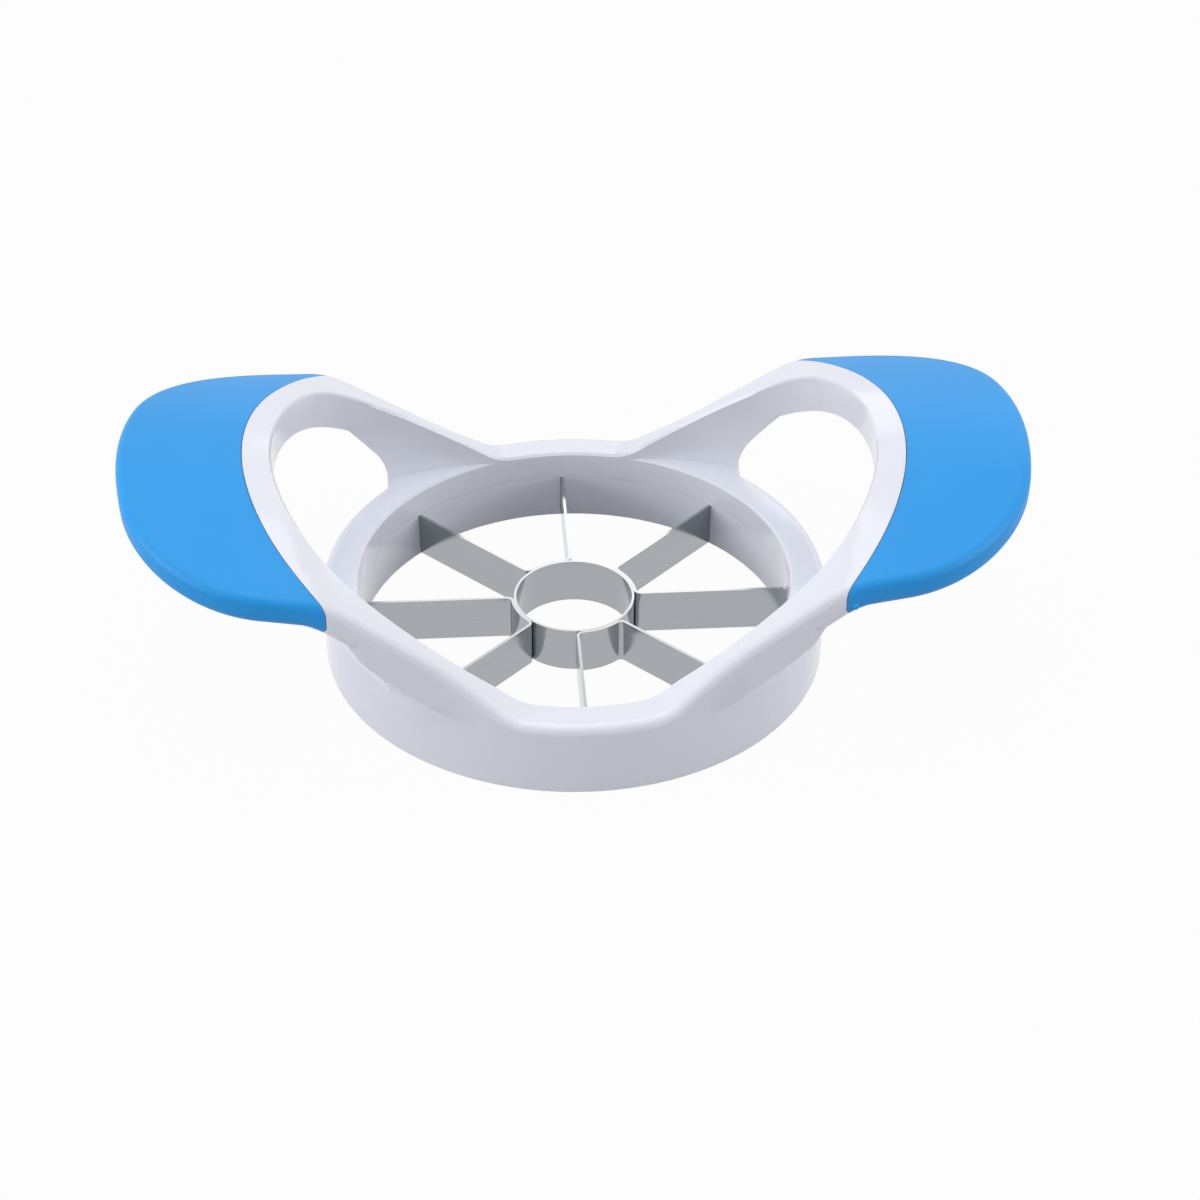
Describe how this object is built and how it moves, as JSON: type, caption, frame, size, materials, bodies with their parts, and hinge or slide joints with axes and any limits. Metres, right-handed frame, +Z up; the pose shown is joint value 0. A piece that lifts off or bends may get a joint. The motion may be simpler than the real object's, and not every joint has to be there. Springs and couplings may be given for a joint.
{
  "type": "apple slicer",
  "caption": "Apple slicer with radial blades round a core tube in a round frame, looped raised handles and soft grips.",
  "frame": {"origin": "centre of the ring's underside, on the table", "axes": "+X through the right handle, +Y to the rear, +Z up through the bore"},
  "size_m": [0.18, 0.103, 0.05],
  "materials": {
    "frame_plastic": "gloss",
    "soft_grip": "satin",
    "blade_steel": "satin"
  },
  "bodies": {
    "root": {"frame": "frame_plastic", "blade_retaining_ring": "frame_plastic", "core_ring": "blade_steel", "right_blade_strip": "blade_steel", "rear_blade_strip": "blade_steel", "left_blade_strip": "blade_steel", "front_blade_strip": "blade_steel", "right_grip": "soft_grip", "left_grip": "soft_grip"}
  },
  "joints": []
}
